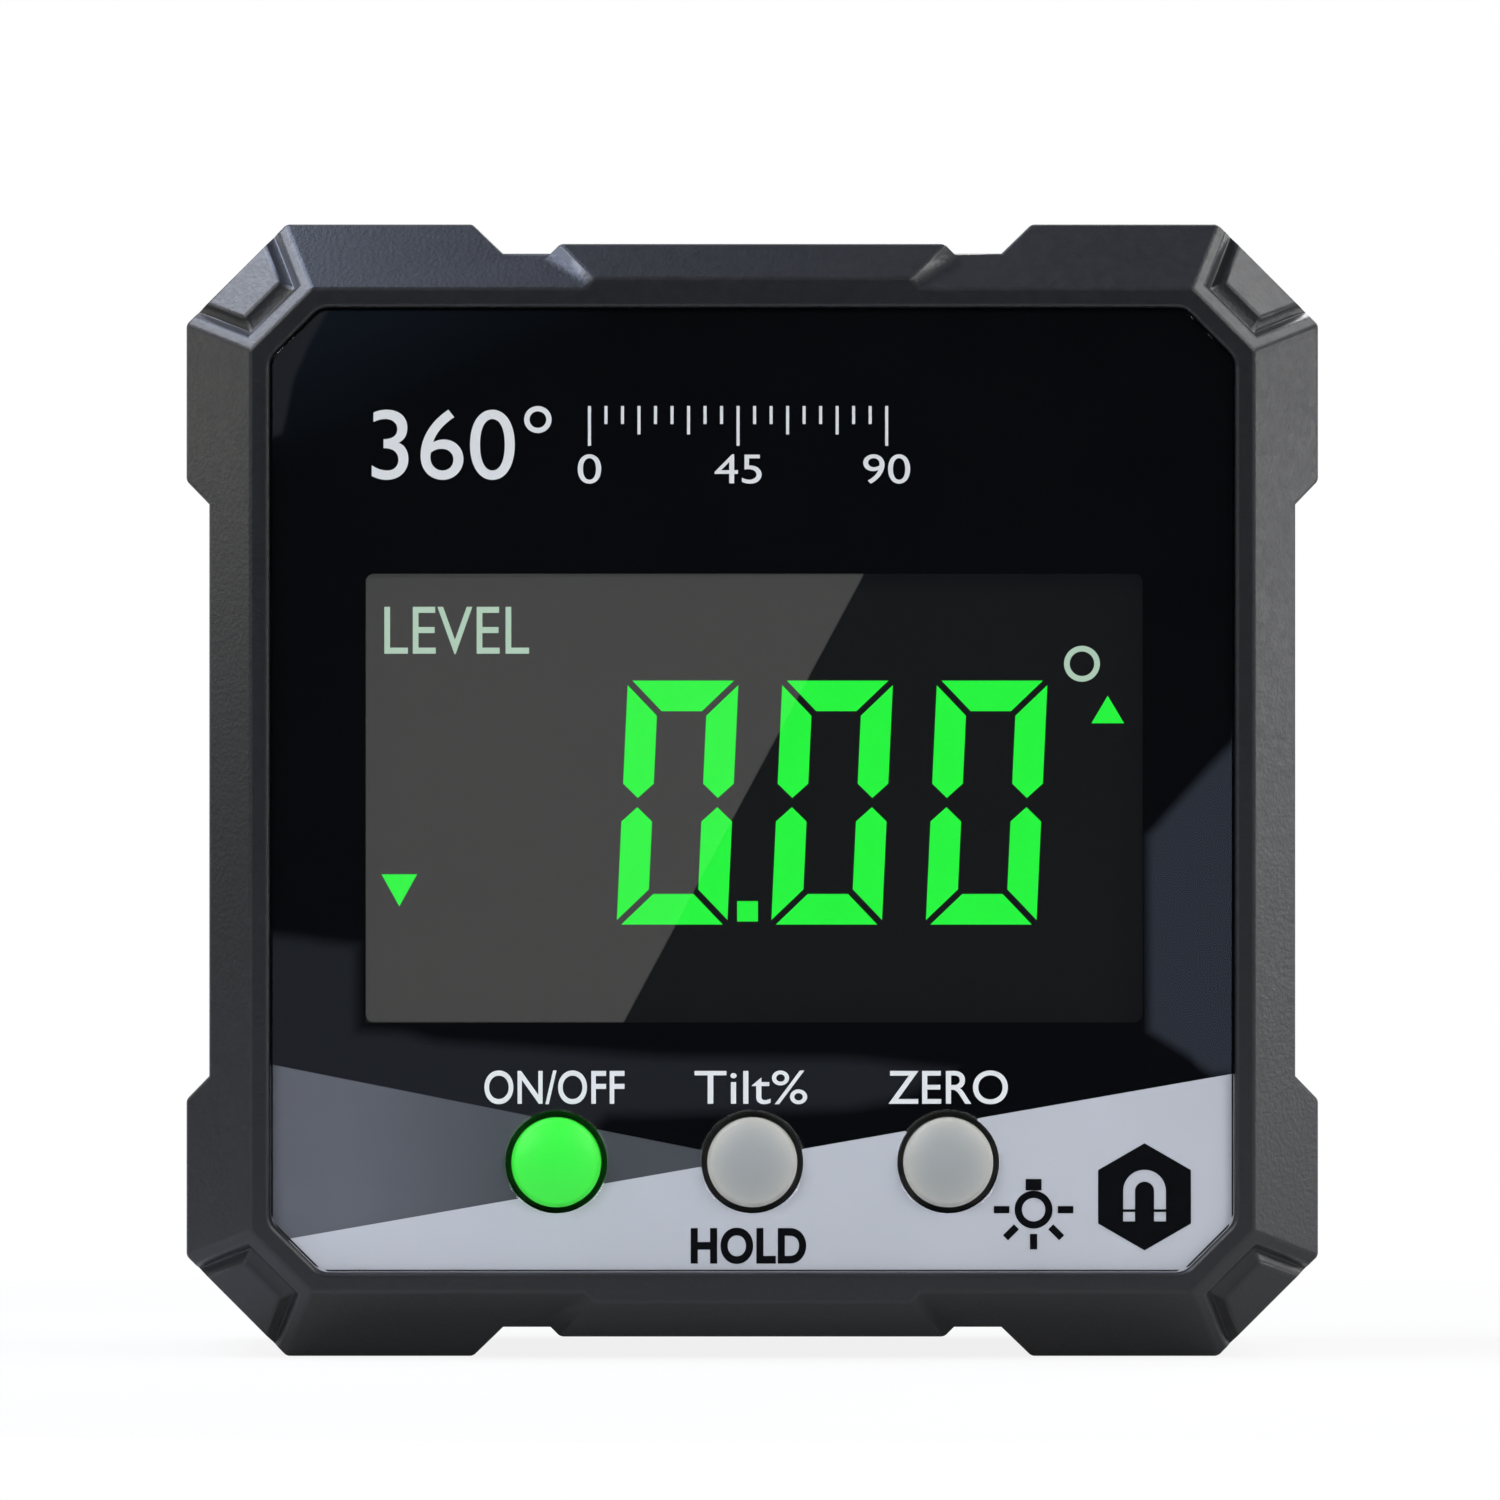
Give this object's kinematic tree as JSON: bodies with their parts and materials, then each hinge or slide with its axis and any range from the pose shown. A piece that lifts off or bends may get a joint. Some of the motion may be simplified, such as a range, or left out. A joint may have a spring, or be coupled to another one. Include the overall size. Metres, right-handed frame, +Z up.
{
  "type": "digital angle gauge",
  "caption": "Square digital angle gauge with a bevelled case, a printed clear panel over a lit display, push keys, magnets in the base and a sliding battery door.",
  "frame": {"origin": "on the surface that the base feet stand on, under the middle of the case and its keys", "axes": "+X to the right seen from the front, +Y from the panel to the back, +Z up"},
  "size_m": [0.06, 0.0306, 0.06],
  "materials": {
    "case_plastic": "fine moulded texture, charcoal",
    "black_rubber": "smooth",
    "grey_rubber": "smooth",
    "printed_panel": "clear sheet printed from behind in black, grey and silver",
    "display_glass": "dark display glass",
    "light_guide": "milky",
    "lamp_white": "satin",
    "board_green": "solder mask",
    "chip_black": "moulded",
    "green_key": "translucent, lit",
    "grey_key": "translucent",
    "switch_black": "moulded",
    "plunger_white": "moulded",
    "contact_steel": "nickel plated spring steel",
    "cell_jacket": null,
    "magnet_plate": "bright nickel plate",
    "screw_steel": "zinc plated"
  },
  "bodies": {
    "case": {"front_case": "case_plastic", "rear_case": "case_plastic", "case_seal": "black_rubber", "zebra_strip": "grey_rubber", "front_panel": "printed_panel", "lcd_cell": "display_glass", "backlight_guide": "light_guide", "backlight_leds": "lamp_white", "circuit_board": "board_green", "controller_chip": "chip_black", "angle_sensor": "chip_black", "on_off_switch": "switch_black", "hold_switch": "switch_black", "zero_switch": "switch_black", "positive_contact": "contact_steel", "negative_contact": "contact_steel", "bridge_contact": "contact_steel", "upper_cell": "cell_jacket", "lower_cell": "cell_jacket", "base_magnets": "magnet_plate", "case_screws": "screw_steel", "board_screws": "screw_steel"},
    "on_off_button": {"on_off_key": "green_key", "on_off_plunger": "plunger_white"},
    "hold_button": {"hold_key": "grey_key", "hold_plunger": "plunger_white"},
    "zero_button": {"zero_key": "grey_key", "zero_plunger": "plunger_white"},
    "door": {"battery_door": "case_plastic"}
  },
  "joints": [
    {"name": "on_off_press", "type": "slide", "parent": "case", "child": "on_off_button", "axis": [0, 1, 0], "range_m": [0, 0.0004], "stiffness_N_per_m": 250, "springref_m": -0.001},
    {"name": "hold_press", "type": "slide", "parent": "case", "child": "hold_button", "axis": [0, 1, 0], "range_m": [0, 0.0004], "stiffness_N_per_m": 250, "springref_m": -0.001},
    {"name": "zero_press", "type": "slide", "parent": "case", "child": "zero_button", "axis": [0, 1, 0], "range_m": [0, 0.0004], "stiffness_N_per_m": 250, "springref_m": -0.001},
    {"name": "door_slide", "type": "slide", "parent": "case", "child": "door", "axis": [1, 0, 0], "range_m": [0, 0.054]}
  ]
}
